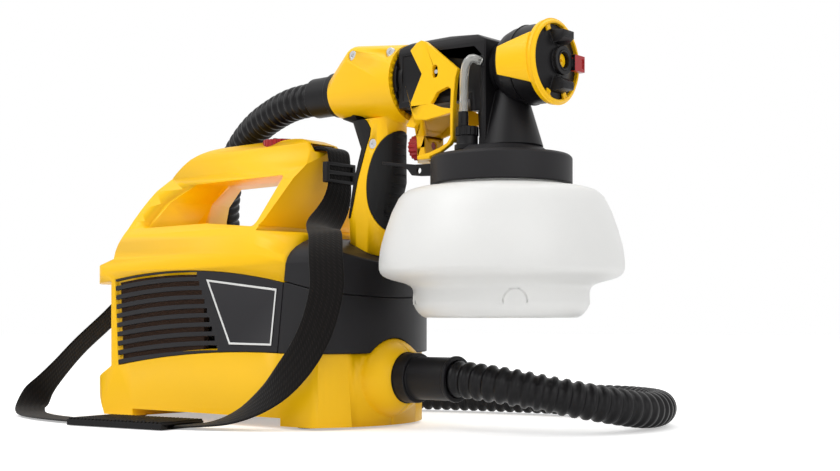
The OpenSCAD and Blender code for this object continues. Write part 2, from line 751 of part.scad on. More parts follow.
// Grip stations from the foot up: rear end, front end, height above the foot, half thickness
grip_steps = [
    [grip_x[0], grip_x[1], 0, grip_r], [98, 137, 30, grip_r + 0.6], [103, 145, 56, grip_r + 0.6],
    [110, 146, 82, grip_r - 0.4], [102, 147, 103, grip_r]];
module grip_slice(s, o) {
    for (x = [s[0] + grip_r, s[1] - grip_r])
        translate([x, 0, pocket_z + gap + s[2]]) cylinder(r = s[3] + o, h = 0.8, $fn = 32);
}
module grip_solid(o = 0) {
    for (i = [0:len(grip_steps) - 2]) hull() {
        grip_slice(grip_steps[i], o);
        grip_slice(grip_steps[i + 1], o);
    }
}
module gun_solid(o = 0) {
    grip_solid(o);
    hull() {
        rod_x(gun_x1 - 10, gun_x1, barrel_r + 1.5 + o, 0, axis_z, $fn = 32);
        for (s = [-1, 1]) translate([114, s * 12, axis_z + 20]) sphere(r = 12 + o, $fn = 24);
        rod_x(gun_x0, gun_x0 + 4, 18 + o, 0, axis_z - 1, $fn = 32);
        translate([110, 0, axis_z - 12]) sphere(r = 15 + o, $fn = 24);
    }
}
module pad_zone(o = 0) { rod_y(-40, 40, 52 + o, 176, axis_z - 77); }
// The saddle wraps the rear of the grip: a crescent under the body and a strip down to the foot
module saddle_zone(o = 0) {
    z = axis_z;
    along_y(-40, 40) offset(delta = o) polygon([[80, z - 20], [104, z - 20.5], [108, z - 19.8], [116.5, z - 21.8],
        [124, z - 26.2], [128, z - 32.4], [127, z - 38], [123, z - 46.5], [115, z - 70.5], [110, z - 89],
        [106.5, z - 99], [80, z - 99]]);
}
gun_screw_spots = [[116, axis_z + 23, 22], [152, axis_z + 21, 20], [129, axis_z - 44, grip_r - 1.2]];
module gun_shell(side) {
    color("gold") intersection() {
        half_space(side);
        difference() {
            gun_solid();
            pad_zone(gap / 2);
            saddle_zone(gap / 2);
            rod_x(gun_x0 - 1, gun_x0 + 14.2, 16, 0, axis_z);
            rod_x(gun_x0 + 10, gun_x1 + 1, 14, 0, axis_z);
            rod_x(gun_x1 - 18, gun_x1 + 1, coupling_r + 4.6, 0, axis_z);
            for (p = gun_screw_spots) rod_y(-40, -p[2] + 2.2, 4, p[0], p[1]);
        }
    }
}
module gun_shell_left() { gun_shell(-1); }
module gun_shell_right() { gun_shell(1); }
module grip_pad() {
    color([0.12, 0.12, 0.13]) difference() {
        intersection() {
            grip_solid(0.5);
            pad_zone(-gap / 2);
        }
        for (h = [22:7.4:90])
            translate([lookup(h, [for (s = grip_steps) [s[2], s[1]]]) - 0.9, -30, pocket_z + gap + h])
                cube([30, 60, 2.4]);
    }
}
module saddle_pad() {
    color([0.12, 0.12, 0.13]) intersection() {
        union() {
            grip_solid(0.5);
            translate([80, -14, axis_z - 30]) cube([30, 28, 16]);
        }
        gun_solid(0.5);
        saddle_zone(-gap / 2);
    }
}
module gun_coupling() {
    color([0.1, 0.1, 0.11]) difference() {
        union() {
            rod_x(gun_x1 - 17.8, gun_x1 + 2, coupling_r + 4.4, 0, axis_z);
            rod_x(gun_x1 + 0.2, gun_x1 + 3, coupling_r + 5.6, 0, axis_z);
        }
        rod_x(gun_x1 - 30, gun_x1 + 5, coupling_r, 0, axis_z);
        for (a = [0:60:300]) translate([gun_x1 + 1.2, 0, axis_z]) rotate([a, 0, 0])
            translate([0, -3, coupling_r + 2.5]) cube([4, 6, 6]);
    }
}
module coupling_seal() {
    color("black") translate([gun_x1 - 15, 0, axis_z]) rotate([0, 90, 0])
        rotate_extrude() translate([coupling_r - 1.25, 0]) circle(r = 1.2, $fn = 24);
}
module gun_screws() {
    color("silver") for (p = gun_screw_spots) difference() {
        rod_y(-p[2] - 0.2, -p[2] + 2, 3.8, p[0], p[1]);
        rod_y(-p[2] - 1, -p[2] + 0.8, 1.7, p[0], p[1], $fn = 6);
    }
}

// ---------------------------------------------------------------- spray head

head_w = 21.5;
module head_outline() {
    x = head_x0;
    z = axis_z;
    polygon([[x, z - 22], [x, z + 22], [x + 8, z + 25.6], [x + 20, z + 26.5], [x + 44, z + 26],
        [x + 72, z + 23], [x + 80, z + 19], [x + 80, lid_z1 + 6], [x + 68.5, lid_z1 + 6], [x + 66, z - 22]]);
}
module head_body() {
    color([0.11, 0.11, 0.12]) difference() {
        union() {
            intersection() {
                along_y(-head_w, head_w) head_outline();
                along_x(0, 400) polygon(concat(
                    [[-head_w, 0]], arc([-head_w + 9, axis_z + 17.6], 9, 180, 90),
                    arc([head_w - 9, axis_z + 17.6], 9, 90, 0), [[head_w, 0]]));
            }
            // neck that carries the barrel over the lid, round at the front
            translate([neck_x, 0, neck_z]) cylinder(r1 = 23, r2 = 11, h = 40);
            // barb that takes the end of the vent tube
            rod_y(-head_w - 0.2, -head_w + 1, 3.6, head_x1 - 4.5, axis_z + 3.5);
            rod_x(head_x1 - 2, head_x1 + 14, 13.9, 0, axis_z);
            // collar and plug that turn in the coupling of the gun
            rod_x(head_x0 - 0.2, head_x0 + 5, coupling_r + 3.5, 0, axis_z);
            rod_x(head_x0 - 16, head_x0 + 2, coupling_r - run, 0, axis_z);
        }
        rod_x(head_x0 - 20, head_x0 + 8, 14, 0, axis_z);
        rod_x(head_x0, head_x1 + 20, needle_r + run, 0, axis_z);
        rod_x(head_x0 + 14, head_x0 + 36, 5, 0, axis_z);
        rod_x(head_x1 - 10, head_x1 + 20, 6, 0, axis_z);
        rod_y(-30, 30, 2 + run, pivot[0], pivot[1]);
        // slot that the needle's cross pin travels in
        translate([cross_x - 4, -30, axis_z - 1.6]) cube([5.8, 60, 3.2]);
        // shallow panel sunk in each side
        for (s = [-1, 1]) along_y(s < 0 ? -head_w - 1 : head_w - 1.2, s < 0 ? -head_w + 1.2 : head_w + 1)
            polygon([[head_x0 + 4, axis_z - 17], [head_x0 + 4, axis_z + 16], [head_x0 + 70, axis_z + 14],
                [head_x0 + 75, axis_z + 8], [head_x0 + 76, axis_z - 4], [head_x0 + 76, lid_z1 + 12],
                [head_x0 + 71, lid_z1 + 12], [head_x0 + 69, axis_z - 17]]);
        translate([cup_x, 0, lid_z1 + 3]) cylinder(r = tube_r + run, h = 30);
        translate([valve[0], valve[1], lid_z1 + 3]) cylinder(r = 9.6, h = 28);
    }
}
module air_barrel() {
    color([0.1, 0.1, 0.11]) difference() {
        union() {
            rod_x(head_x1 + 24, barrel_x1 - 0.4, barrel_r, 0, axis_z);
            translate([head_x1 + 0.1, 0, axis_z]) rotate([0, 90, 0]) rotate_extrude($fn = 96)
                polygon([[0, 0], [18, 0], [18, 3.5], [barrel_r - 6, 6.5], [barrel_r - 3, 11], [barrel_r - 1, 17],
                    [barrel_r, 24], [0, 24]]);
        }
        rod_x(head_x1 - 1, head_x1 + 16, 14, 0, axis_z);
        rod_x(head_x1 + 15, barrel_x1 + 1, barrel_r - 5.9, 0, axis_z);
        // cut the neck's shape out of the barrel's underside
        translate([neck_x, 0, neck_z]) cylinder(r1 = 23.1, r2 = 11.1, h = 40);
    }
}
module trigger_pin() { color("silver") rod_y(-25.4, 25.4, 2, pivot[0], pivot[1]); }

// One cheek of the trigger, seen from the side: a plate with a window, and an arm round the fingers
module cheek_outline() {
    x = head_x0;
    z = axis_z;
    difference() {
        polygon([[x + 16, z + 18], [x + 22, z + 22.7], [x + 26, z + 24], [x + 30, z + 22.7], [x + 60, z - 1],
            [x + 57.7, z - 6.5], [x + 56.4, z - 16.5], [x + 55.4, z - 28], [x + 55.2, z - 50], [x + 52.5, z - 53.5],
            [x + 44, z - 58], [x + 34, z - 60.4], [x + 24, z - 62], [x + 24, z - 59], [x + 34, z - 57.4],
            [x + 44, z - 54.6], [x + 50, z - 52], [x + 53, z - 48], [x + 53, z - 31], [x + 44, z - 32.5],
            [x + 30, z - 34], [x + 19.4, z - 32], [x + 17.4, z - 26], [x + 16.1, z - 20.4], [x + 26.8, z - 0.4]]);
        polygon([[x + 35, z - 22.5], [x + 40.6, z - 15.3], [x + 50.6, z - 12.2], [x + 53.6, z - 14.4],
            [x + 53, z - 28], [x + 44.3, z - 26.3]]);
    }
}
module trigger() {
    x = head_x0;
    z = axis_z;
    cheek = [head_w + 1.5, head_w + 5.5];
    color("gold") difference() {
        union() {
            for (s = [-1, 1]) {
                along_y(s < 0 ? -cheek[1] : cheek[0], s < 0 ? -cheek[0] : cheek[1]) cheek_outline();
                // shoulder from the cheek in to the finger blade
                hull() {
                    along_y(s < 0 ? -cheek[1] : cheek[0], s < 0 ? -cheek[0] : cheek[1])
                        polygon([[x + 16.6, z - 22.6], [x + 25, z - 24], [x + 26.4, z - 33.4], [x + 19.4, z - 32]]);
                    along_y(s < 0 ? -11 : 8, s < 0 ? -8 : 11)
                        polygon([[x + 7.5, z - 33], [x + 15.7, z - 33], [x + 16, z - 42], [x + 8, z - 42]]);
                }
                // inner flange of the arm
                along_y(s < 0 ? -cheek[0] - 0.2 : 16, s < 0 ? -16 : cheek[0] + 0.2)
                    polygon([[x + 53, z - 24], [x + 55.2, z - 24], [x + 55.2, z - 50], [x + 53, z - 52]]);
            }
            // bridge under the head, finger blade and foot
            along_y(-cheek[0], cheek[0])
                polygon([[x + 8, z - 36], [x + 16, z - 25], [x + 25, z - 24], [x + 16.5, z - 38]]);
            along_y(-11, 11) polygon([[x + 7.5, z - 34], [x + 17, z - 30], [x + 16.2, z - 42], [x + 17, z - 62],
                [x + 9.6, z - 62], [x + 8.2, z - 42]]);
            translate([0, 0, z - 62]) linear_extrude(3) polygon([[x + 9.6, -11], [x + 23, -cheek[1]],
                [x + 34, -cheek[1]], [x + 34, -cheek[0]], [x + 25, -20], [x + 21, -8], [x + 21, 8], [x + 25, 20],
                [x + 34, cheek[0]], [x + 34, cheek[1]], [x + 23, cheek[1]], [x + 9.6, 11]]);
        }
        rod_y(-25.6, 25.6, 2 + run, pivot[0], pivot[1]);
        rod_x(x, x + 40, 3 + run, 0, knob_z);
        // oval that the needle's cross pin rides in
        for (h = [-2.2, 2.2]) rod_y(-40, 40, 2.4, cross_x, z + h);
        translate([cross_x - 2.4, -40, z - 2.2]) cube([4.8, 80, 4.4]);
    }
}
module flow_knob() {
    x = head_x0;
    color("firebrick") difference() {
        union() {
            rod_x(x - 1.5, x + 7.4, knob_r, 0, knob_z);
            rod_x(x + 7, x + 15.5, 3, 0, knob_z);
        }
        for (a = [0:20:340]) translate([x - 2.5, 0, knob_z]) rotate([a, 0, 0])
            translate([0, 0, knob_r + 0.3]) rotate([0, 90, 0]) cylinder(r = 1.1, h = 8, $fn = 16);
        translate([x - 2.5, -1, knob_z - knob_r]) cube([2.2, 2, 2 * knob_r]);
    }
}
nozzle_x = cap_x - 3;
spigot_r = 7;
module needle() {
    color("silver") {
        rod_x(head_x0 + 10, nozzle_x - 9, needle_r, 0, axis_z);
        translate([nozzle_x - 9, 0, axis_z]) rotate([0, 90, 0]) cylinder(r1 = needle_r, r2 = 0.4, h = 6);
        rod_x(head_x0 + 31, head_x0 + 34, 4.5, 0, axis_z);
        rod_y(-25.5, 25.5, 1.5, cross_x, axis_z);
    }
}
module needle_spring() {
    color("gray") for (i = [0:5]) translate([head_x0 + 15.8 + 2.4 * i, 0, axis_z]) rotate([0, 90, 0])
        rotate_extrude() translate([3.6, 0]) circle(r = 0.6, $fn = 16);
}
module fluid_nozzle() {
    color("gold") difference() {
        union() {
            rod_x(head_x1 - 9, head_x1 + 15, 5.9, 0, axis_z);
            rod_x(head_x1 + 14.1, nozzle_x - 4, 9, 0, axis_z);
            rod_x(nozzle_x, nozzle_x + 6, 5, 0, axis_z);
            translate([nozzle_x - 4, 0, axis_z]) rotate([0, 90, 0]) cylinder(r1 = 9, r2 = 5, h = 4.5);
        }
        rod_x(head_x1 - 20, nozzle_x - 8, needle_r + 0.5, 0, axis_z);
        rod_x(head_x1 - 20, nozzle_x + 8, 1, 0, axis_z);
        translate([nozzle_x - 9, 0, axis_z]) rotate([0, 90, 0]) cylinder(r1 = needle_r + 0.5, r2 = 0.9, h = 8);
    }
}
module air_cap() {
    color([0.1, 0.1, 0.11]) difference() {
        union() {
            rod_x(barrel_x1 + 0.1, cap_x - 2.5, ring_r - 3.3, 0, axis_z);
            translate([cap_x - 2.6, 0, axis_z]) rotate([0, 90, 0]) cylinder(r1 = ring_r - 6.4, r2 = 12, h = 4);
            rod_x(cap_x, cap_x + 3, 9, 0, axis_z);
            rod_x(cap_x + 2, cap_x + 6, spigot_r, 0, axis_z);
            for (s = [-1, 1]) along_y(-6.5, 6.5) polygon([[cap_x - 4, axis_z + s * 11], [cap_x + 5, axis_z + s * 12],
                [cap_x + 9.4, axis_z + s * 15], [cap_x + 9.4, axis_z + s * 20], [cap_x - 4, axis_z + s * 21.4]]);
        }
        rod_x(cap_x - 12, cap_x - 2.9, 9.4, 0, axis_z);
        rod_x(cap_x - 12, cap_x + 10, 5.6, 0, axis_z);
    }
}
// The union ring turns the air cap; two wings give the fingers hold
module cap_ring() {
    color("gold") difference() {
        union() {
            rod_x(barrel_x1, cap_x - 2, ring_r, 0, axis_z);
            translate([cap_x - 2.1, 0, axis_z]) rotate([0, 90, 0]) cylinder(r1 = ring_r, r2 = ring_r - 1.6, h = 2.1);
            for (s = [-1, 1]) intersection() {
                tube_x(barrel_x1 - 28, barrel_x1 + 1, ring_r + 1.5, barrel_r + 0.35, axis_z);
                along_y(s < 0 ? -50 : 0, s < 0 ? 0 : 50) polygon([[barrel_x1 - 24.5, axis_z - 9.5],
                    [barrel_x1 - 24.5, axis_z + 9.5], [barrel_x1 + 1, axis_z + 17], [barrel_x1 + 1, axis_z - 17]]);
            }
        }
        rod_x(barrel_x1 - 30, cap_x + 5, ring_r - 3.2, 0, axis_z);
    }
    // four teeth that hold the air cap in
    color("gold") for (a = [24, 156, 204, 336]) translate([cap_x - 2.3, 0, axis_z]) rotate([a, 0, 0])
        translate([0, -2.2, ring_r - 7]) cube([2, 4.4, 4.4]);
}
module width_lever() {
    color("firebrick") difference() {
        union() {
            along_x(cap_x + 3.2, cap_x + 5.6) {
                translate([0, axis_z]) circle(r = spigot_r + 3);
                translate([0, axis_z - 2.6]) square([14, 5.2]);
            }
            along_x(cap_x + 3, cap_x + 7.5) translate([10.5, axis_z - 5.6]) square([12.5, 11.2]);
        }
        along_x(cap_x + 6.3, cap_x + 8) translate([19.3, axis_z - 3.4]) square([2.6, 6.8]);
        rod_x(cap_x, cap_x + 12, spigot_r + run, 0, axis_z);
    }
}

// Clear tube from the vent valve up to the barrel
tube_route = [
    [valve[0], valve[1] - 4.5, lid_z1 + 30], [valve[0] + 0.5, valve[1] - 4.7, lid_z1 + 36],
    [valve[0] + 1, valve[1] - 5.2, lid_z1 + 44], [valve[0] + 2, valve[1] - 6.2, lid_z1 + 54],
    [valve[0] + 4.5, valve[1] - 7, lid_z1 + 62.5], [valve[0] + 7.5, valve[1] - 6.2, lid_z1 + 66],
    [valve[0] + 10, valve[1] - 4.2, lid_z1 + 66.2], [valve[0] + 11, valve[1] - 2, lid_z1 + 65.2],
    [valve[0] + 11, valve[1] - 0.3, lid_z1 + 65]];
module vent_tube() {
    c = even(spline(tube_route, 4), 18);
    color([0.9, 0.9, 0.85, 0.5]) swept_tube(c, [for (p = c) 3], c, 2, [1, 0, 0], 10);
}
module valve_housing() {
    color("black") translate([valve[0], valve[1], lid_z1 + 3.1]) {
        cylinder(r = valve_r + 0.9, h = 4);
        translate([0, 0, 4]) cylinder(r = valve_r - 0.5, h = 6);
    }
}
module valve_cap() {
    color("black") translate([valve[0], valve[1], lid_z1 + 13.2]) difference() {
        union() {
            cylinder(r = valve_r, h = 6.5);
            translate([0, -4.5, 6.4]) cylinder(r = 3.6, h = 10.3);
        }
        translate([0, -4.5, -1]) cylinder(r = 2, h = 30);
        for (a = [0:30:330]) rotate(a) translate([valve_r + 0.4, 0, -1]) cylinder(r = 1, h = 10, $fn = 16);
    }
}

// ---------------------------------------------------------------- lid and cup

module lid_ring() {
    color([0.13, 0.13, 0.14]) difference() {
        translate([cup_x, 0, 0]) rotate_extrude($fn = 96) polygon([
            [0, lid_z1 + 5.7], [30, lid_z1 + 5.7], [36, lid_z1], [lid_r - 2, lid_z1], [lid_r, lid_z1 - 2],
            [lid_r, lid_z0], [neck_r + run, lid_z0], [neck_r + run, lid_z1 - 4], [0, lid_z1 - 4]]);
        translate([cup_x, 0, lid_z0]) cylinder(r = tube_r + run, h = 60);
        translate([valve[0], valve[1], lid_z1 + 3]) cylinder(r = 9.6, h = 22);
        translate([valve[0], valve[1], lid_z1 - 6]) cylinder(r = 2, h = 22);
    }
}
module lid_seal() {
    color("black") translate([cup_x, 0, lid_z1 - 6]) difference() {
        cylinder(r = neck_r - 0.2, h = 1.9);
        translate([0, 0, -1]) cylinder(r = neck_r - 5, h = 4);
    }
}
module hook_bracket() {
    x = cup_x - lid_r;
    z = lid_z1;
    color("black") difference() {
        along_y(-25, -22.4) difference() {
            polygon([[x - 40.5, z - 0.9], [x - 40.5, z + 1.3], [x - 20, z - 1.7], [x - 13, z - 2.7], [x - 9, z - 3.3],
                [x + 14, z - 4], [x + 14, z - 13], [x - 4, z - 12], [x - 12, z - 11], [x - 16, z - 6.5],
                [x - 21, z - 4.1]]);
            translate([x - 5.2, z - 8]) circle(r = 2.2);
        }
        translate([cup_x, 0, 0]) cylinder(r = lid_r + 0.05, h = 400, $fn = 96);
    }
}
module pickup_tube() {
    lean = 32;
    elbow_z = cup_z0 + 44;
    reach = (elbow_z - cup_z0 - cup_wall - 4) / cos(lean);
    color("silver") translate([cup_x, 0, elbow_z]) difference() {
        union() {
            cylinder(r = tube_r, h = lid_z1 + 9 - elbow_z);
            sphere(r = tube_r + 0.6);
            rotate([0, 180 - lean, 0]) cylinder(r = tube_r, h = reach);
        }
        cylinder(r = tube_r - 1.2, h = 200);
        rotate([0, 180 - lean, 0]) cylinder(r = tube_r - 1.2, h = 100);
    }
}
// Outline of the cup wall from the neck down, as [radius, height above the floor]
function cup_wall_line() = let (k = cup_r / 87, h = cup_h) concat(
    [[neck_r, h + lid_h + 0.8], [neck_r, h + 5]],
    bez([[neck_r + 1.5, h + 4.6], [62 * k, h + 4], [68 * k, h + 4], [73 * k, h - 3]]),
    bez([[78 * k, h - 13], [82 * k, h - 25], [86 * k, h - 34], [cup_r, h - 47]]),
    bez([[cup_r, h - 53], [86 * k, h - 59], [79 * k, h - 60], [71 * k, h - 62]]),
    bez([[68 * k, h - 63], [63 * k, h - 65], [62.5 * k, h - 67], [62.5 * k, h - 70]], 4),
    bez([[62.5 * k, h - 76], [62.5 * k, 7], [58 * k, 1], [54 * k, 0]], 5));
module cup() {
    line = cup_wall_line();
    inner = [for (i = [len(line) - 1:-1:0])
        [line[i][0] - cup_wall, max(line[i][1] - (i > 1 && i < 10 ? cup_wall : 0), cup_wall)]];
    color([0.93, 0.93, 0.93]) translate([cup_x, 0, cup_z0]) difference() {
        rotate_extrude($fn = 96) polygon(concat(line, [[0, 0], [0, cup_wall]], inner));
        // four shallow finger panels in the foot of the cup
        for (a = [45:90:315]) rotate(a) translate([61.5 * cup_r / 87, 0, 11]) rotate([0, 90, 0])
            cylinder(r = 8, h = 6);
    }
}

module in_frame() { translate([-origin_x, 0, 0]) children(); }

in_frame() housing_front();
in_frame() housing_rear();
in_frame() filter_cover();
in_frame() nameplate();
in_frame() rear_grille();
in_frame() filter_foam();
in_frame() dock_body();
in_frame() dock_cover();
in_frame() hose_socket();
in_frame() air_duct();
in_frame() motor();
in_frame() rotor_shaft();
in_frame() fan_stage_1();
in_frame() fan_stage_2();
in_frame() fan_casing();
in_frame() power_dial();
in_frame() dial_cap();
in_frame() cord_gland();
in_frame() rubber_feet();
in_frame() housing_screws();
in_frame() strap();
in_frame() strap_buckle();
in_frame() strap_pad();
in_frame() hose();
in_frame() hose_cuff_port();
in_frame() hose_cuff_gun();
in_frame() gun_shell_left();
in_frame() gun_shell_right();
in_frame() grip_pad();
in_frame() saddle_pad();
in_frame() gun_coupling();
in_frame() coupling_seal();
in_frame() gun_screws();
in_frame() head_body();
in_frame() air_barrel();
in_frame() trigger_pin();
in_frame() trigger();
in_frame() flow_knob();
in_frame() needle();
in_frame() needle_spring();
in_frame() fluid_nozzle();
in_frame() air_cap();
in_frame() cap_ring();
in_frame() width_lever();
in_frame() vent_tube();
in_frame() valve_housing();
in_frame() valve_cap();
in_frame() lid_ring();
in_frame() lid_seal();
in_frame() hook_bracket();
in_frame() pickup_tube();
in_frame() cup();
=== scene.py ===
"""Paint sprayer: a cup gun on a ribbed air hose, docked on the turbine case that feeds it.

Lengths are metres in the part's own frame: +X towards the nozzle, +Z up, the case stands on Z = 0.
Places that come from a drawing of the sprayer are written in millimetres from the middle of the
case's base and turned into the frame by spots().
"""
import json

import bmesh
import bpy
import numpy as np
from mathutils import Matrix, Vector


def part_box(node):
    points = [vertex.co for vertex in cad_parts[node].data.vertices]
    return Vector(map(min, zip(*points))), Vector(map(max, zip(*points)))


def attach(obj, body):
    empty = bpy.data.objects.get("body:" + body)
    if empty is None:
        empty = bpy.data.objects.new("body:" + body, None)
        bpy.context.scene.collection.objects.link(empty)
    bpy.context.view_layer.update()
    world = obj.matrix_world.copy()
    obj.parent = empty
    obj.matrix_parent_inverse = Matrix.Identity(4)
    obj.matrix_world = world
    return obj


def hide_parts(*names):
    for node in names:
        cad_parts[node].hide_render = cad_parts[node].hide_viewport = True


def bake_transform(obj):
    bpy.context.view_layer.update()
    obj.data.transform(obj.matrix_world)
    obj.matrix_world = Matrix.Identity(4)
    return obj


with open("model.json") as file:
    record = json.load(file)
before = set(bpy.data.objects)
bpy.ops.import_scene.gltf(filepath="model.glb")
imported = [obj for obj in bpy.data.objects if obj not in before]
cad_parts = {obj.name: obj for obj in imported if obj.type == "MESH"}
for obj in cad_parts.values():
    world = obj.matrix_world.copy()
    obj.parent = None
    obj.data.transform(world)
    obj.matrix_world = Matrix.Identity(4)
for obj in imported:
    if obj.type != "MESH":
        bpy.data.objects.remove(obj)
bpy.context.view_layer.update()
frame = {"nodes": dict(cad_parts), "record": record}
nodes = frame["nodes"]
node_slot = {row["node"]: row["material_slot"] for row in frame["record"]["subparts"]}
node_body = {name: body for body, names in frame["record"]["behaviour"]["bodies"].items()
             for name in names}

# ---------------------------------------------------------------- frame
# The drawing's zero is the middle of the case's base, and the part's origin is the middle of the
# whole footprint, so the two differ by a step along X that the tail of the case gives.
MM = 0.001
TAIL_TIP = -151.0
BASE_SHIFT = TAIL_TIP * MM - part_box("housing_front")[0].x


def spots(points):
    """Places in millimetres from the middle of the case's base, as rows in metres in the frame."""
    return np.array(points, float) * MM - np.array([BASE_SHIFT, 0, 0])


# ---------------------------------------------------------------- camera, floor and light
# One level camera at the height of the case's boss, forty degrees round from the side of the case.
# Floor and world are white to the camera and to reflections, the floor keeps the shadow, and the
# lamps are three large soft boxes at a plain level.
PICTURE_W, PICTURE_H = 840, 471
FOCAL_PX = 1300.0
SENSOR_MM = 36.0
HORIZON_ROW = 325.0
CAMERA_TURN = np.radians(40.0)
CAMERA_PLACE = [789.5, -745.3, 77.7]

camera_data = bpy.data.cameras.new("camera")
camera_data.sensor_width = SENSOR_MM
camera_data.lens = SENSOR_MM * FOCAL_PX / PICTURE_W
camera_data.shift_y = (HORIZON_ROW - PICTURE_H / 2) / PICTURE_W
camera_data.clip_end = 30.0
camera = bpy.data.objects.new("camera", camera_data)
bpy.context.scene.collection.objects.link(camera)
camera.location = spots(CAMERA_PLACE)
camera.rotation_euler = (np.pi / 2, 0, CAMERA_TURN)
bpy.context.scene.camera = camera


def linear(code):
    """Linear colour, with alpha 1, of an sRGB hex code."""
    c = np.array([int(code[i:i + 2], 16) for i in (0, 2, 4)]) / 255
    return (*np.where(c <= 0.04045, c / 12.92, ((c + 0.055) / 1.055) ** 2.4), 1.0)


def add(tree, kind, settings=None, links=None):
    """A new node of a kind in a tree, with its settings and the sockets that feed its inputs."""
    node = tree.nodes.new(kind)
    for key, value in (settings or {}).items():
        if isinstance(key, int) or key in node.inputs:
            node.inputs[key].default_value = value
        else:
            setattr(node, key, value)
    for key, socket in (links or {}).items():
        tree.links.new(socket, node.inputs[key])
    return node


def new_material(name):
    """An empty node material, its tree and its Principled shader, already wired to the output."""
    made = bpy.data.materials.new(name)
    made.use_nodes = True
    made.node_tree.nodes.clear()
    shader = add(made.node_tree, "ShaderNodeBsdfPrincipled")
    add(made.node_tree, "ShaderNodeOutputMaterial", links={"Surface": shader.outputs[0]})
    return made, made.node_tree, shader


def grid_mesh(name, points, wrap_v=False):
    """A mesh from a grid of points, rows by columns: each cell of the grid is one quad."""
    rows, columns = points.shape[:2]
    index = np.arange(rows * columns).reshape(rows, columns)
    if wrap_v:
        index = np.hstack([index, index[:, :1]])
    quads = np.stack([index[:-1, :-1], index[:-1, 1:], index[1:, 1:], index[1:, :-1]], -1)
    mesh = bpy.data.meshes.new(name)
    mesh.from_pydata(points.reshape(-1, 3), [], quads.reshape(-1, 4).tolist())
    mesh.shade_smooth()
    return mesh


# seamless studio paper: matt and pale, and lit up a little to the camera so that only the shadow
# of the sprayer shows on it
FLOOR_GLOW = 0.42
FLOOR_REACH, FLOOR_DROP = 9.0, 0.0005
backdrop, backdrop_tree, backdrop_shader = new_material("pale_studio_floor")
backdrop_shader.inputs["Base Color"].default_value = linear("F2F2F2")
backdrop_shader.inputs["Roughness"].default_value = 0.9
floor_rays = add(backdrop_tree, "ShaderNodeLightPath")
floor_seen = add(backdrop_tree, "ShaderNodeMath", {"operation": "MAXIMUM"},
                 {0: floor_rays.outputs["Is Camera Ray"], 1: floor_rays.outputs["Is Glossy Ray"]})
floor_glow = add(backdrop_tree, "ShaderNodeMath", {"operation": "MULTIPLY", 1: FLOOR_GLOW},
                 {0: floor_seen.outputs[0]})
backdrop_shader.inputs["Emission Color"].default_value = (1, 1, 1, 1)
backdrop_tree.links.new(floor_glow.outputs[0], backdrop_shader.inputs["Emission Strength"])
floor_edge = np.array([-FLOOR_REACH, FLOOR_REACH])
floor_corners = np.stack(np.meshgrid(floor_edge, floor_edge, [-FLOOR_DROP], indexing="ij"), -1)
floor = bpy.data.objects.new("floor", grid_mesh("floor", floor_corners[:, :, 0]))
floor.data.materials.append(backdrop)
bpy.context.scene.collection.objects.link(floor)

# the room: white where the camera, glass and gloss look at it, dimmer where it lights the sprayer
ROOM_LIGHT, ROOM_WHITE = 0.62, 1.0
world = bpy.data.worlds.new("studio")
bpy.context.scene.world = world
world.use_nodes = True
world.node_tree.nodes.clear()
rays = add(world.node_tree, "ShaderNodeLightPath")
seen_direct = add(world.node_tree, "ShaderNodeMath", {"operation": "MAXIMUM"},
                  {0: rays.outputs["Is Camera Ray"], 1: rays.outputs["Is Transmission Ray"]})
seen = add(world.node_tree, "ShaderNodeMath", {"operation": "MAXIMUM"},
           {0: rays.outputs["Is Glossy Ray"], 1: seen_direct.outputs[0]})
dim = add(world.node_tree, "ShaderNodeBackground", {"Color": (1, 1, 1, 1), "Strength": ROOM_LIGHT})
white = add(world.node_tree, "ShaderNodeBackground",
            {"Color": (1, 1, 1, 1), "Strength": ROOM_WHITE})
mixed = add(world.node_tree, "ShaderNodeMixShader",
            links={0: seen.outputs[0], 1: dim.outputs[0], 2: white.outputs[0]})
add(world.node_tree, "ShaderNodeOutputWorld", links={"Surface": mixed.outputs[0]})


def soft_box(name, place, aim, size, power):
    """A square area lamp at a place, turned to face another, of a size in m and a power in W."""
    data = bpy.data.lights.new(name, "AREA")
    data.shape, data.size, data.energy = "SQUARE", size, power
    lamp = bpy.data.objects.new(name, data)
    lamp.location = place
    lamp.rotation_mode = "QUATERNION"
    lamp.rotation_quaternion = (Vector(aim) - Vector(place)).to_track_quat("-Z", "Y")
    bpy.context.scene.collection.objects.link(lamp)


MID_HEIGHT = 0.15
soft_box("key_light", (-0.5, -1.3, 1.7), (0.0, 0, MID_HEIGHT), 1.2, 17)
soft_box("fill_light", (1.7, -0.7, 0.9), (0.05, 0, MID_HEIGHT), 1.2, 7)
soft_box("top_light", (0.1, 0.5, 1.9), (0.05, 0, MID_HEIGHT), 1.5, 10)
bpy.context.scene.view_settings.view_transform = "Standard"


# ---------------------------------------------------------------- air hose and its cuffs
# The hose is blow moulded black polyethylene with a rib every nine millimetres, 27 mm over the
# ribs. A swivel cuff plugs into the case, the hose lies on the floor round behind the case, then
# climbs to the cuff on the back of the gun, which carries its last stretch when it is lifted out.
HOSE_D, RIB_PITCH, RIB_DEPTH = 27.0, 9.0, 2.0
HOSE_RINGS, HOSE_SIDES = 1400, 48
HOSE_ROUTE = [
    [174, 0, 38], [189, 0, 38], [203, 0, 38], [238, 7, 34], [270, 27, 27], [292, 58, 20],
    [299, 95, 15], [290, 134, 14], [266, 166, 14], [232, 187, 14], [192, 193, 14], [145, 191, 14],
    [95, 184, 14], [50, 174, 14], [8, 162, 14], [-28, 151, 15], [-60, 138, 22], [-88, 125, 36],
    [-110, 113, 56], [-126, 101, 81], [-134, 89, 110], [-134, 77, 141], [-126, 64, 171],
    [-110, 51, 198], [-87, 39, 220], [-60, 28.5, 236.5], [-32, 19.5, 248], [-1, 11, 255],
    [24, 5, 258.3], [46, 1.5, 259], [60, 0, 259], [74, 0, 259]]


